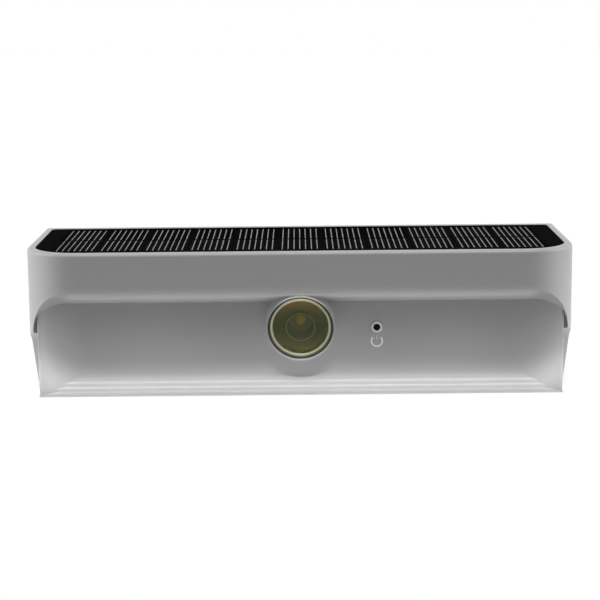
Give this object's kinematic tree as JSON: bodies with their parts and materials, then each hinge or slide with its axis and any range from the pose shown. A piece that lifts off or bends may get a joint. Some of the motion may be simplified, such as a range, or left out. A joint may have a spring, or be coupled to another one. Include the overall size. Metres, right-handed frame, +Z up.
{
  "type": "solar fence light",
  "caption": "Solar spot light for a fence or wall: D-shaped grey moulded housing, sunk solar panel on top, coved front with a round lens and push button, rear cover with keyholes.",
  "frame": {"origin": "centre of the rear cover's outer face, which lies on the wall, at half the housing's height", "axes": "+X to the right seen from the front, along the housing's length; +Y towards the wall, square to the mounting face; +Z up, towards the solar panel"},
  "size_m": [0.2, 0.069, 0.0542],
  "materials": {
    "housing": "fine-grained moulded plastic, mid grey",
    "cover": "moulded plastic, grey",
    "seal": "black soft rubber",
    "foam": "closed-cell foam tape",
    "board": "green glass-fibre circuit board",
    "panel_backing": "black glass-fibre panel board",
    "cell": "dark blue-grey silicon, fine silver fingers",
    "clear_sheet": "clear cast resin",
    "lens": "clear moulded lens",
    "reflector": "dull olive moulding",
    "ring": "pale cream moulding",
    "led_base": "olive ceramic carrier",
    "wire": "PVC insulation",
    "led": "yellow phosphor dome",
    "screw": "zinc-plated steel",
    "white_trim": "white moulding",
    "button": "black moulding",
    "switch": "black moulded switch block",
    "chip": "black epoxy",
    "coil": "ferrite drum",
    "socket": "cream moulding",
    "holder": "black moulding",
    "battery": "shrink-wrapped cell, plain blue",
    "contact": "nickel-plated spring steel"
  },
  "bodies": {
    "housing": {"housing_shell": "housing", "panel_tape": "foam", "solar_panel_board": "panel_backing", "solar_cells": "cell", "solar_cover_sheet": "clear_sheet", "lens": "lens", "lens_seal": "seal", "reflector": "reflector", "lens_ring": "ring", "led_board": "board", "led_base": "led_base", "led_dome": "led", "led_board_screws": "screw", "button_bezel": "white_trim", "button_seal": "seal", "tact_switch": "switch", "switch_board": "board", "switch_board_screws": "screw", "control_board": "board", "charge_chip": "chip", "boost_coil": "coil", "wire_sockets": "socket", "control_board_screws": "screw", "switch_leads": "wire", "panel_leads": "wire", "led_leads": "wire", "battery_leads": "wire", "battery_holder": "holder", "battery_cell": "battery", "battery_contacts": "contact", "rear_cover": "cover", "cover_seal": "seal", "cover_screws": "screw"},
    "power_button": {"power_button": "button", "switch_plunger": "button"}
  },
  "joints": [
    {"name": "power_button_press", "type": "slide", "parent": "housing", "child": "power_button", "axis": [0, 1, 0], "range_m": [0, 0.0005], "stiffness_N_per_m": 1200}
  ]
}
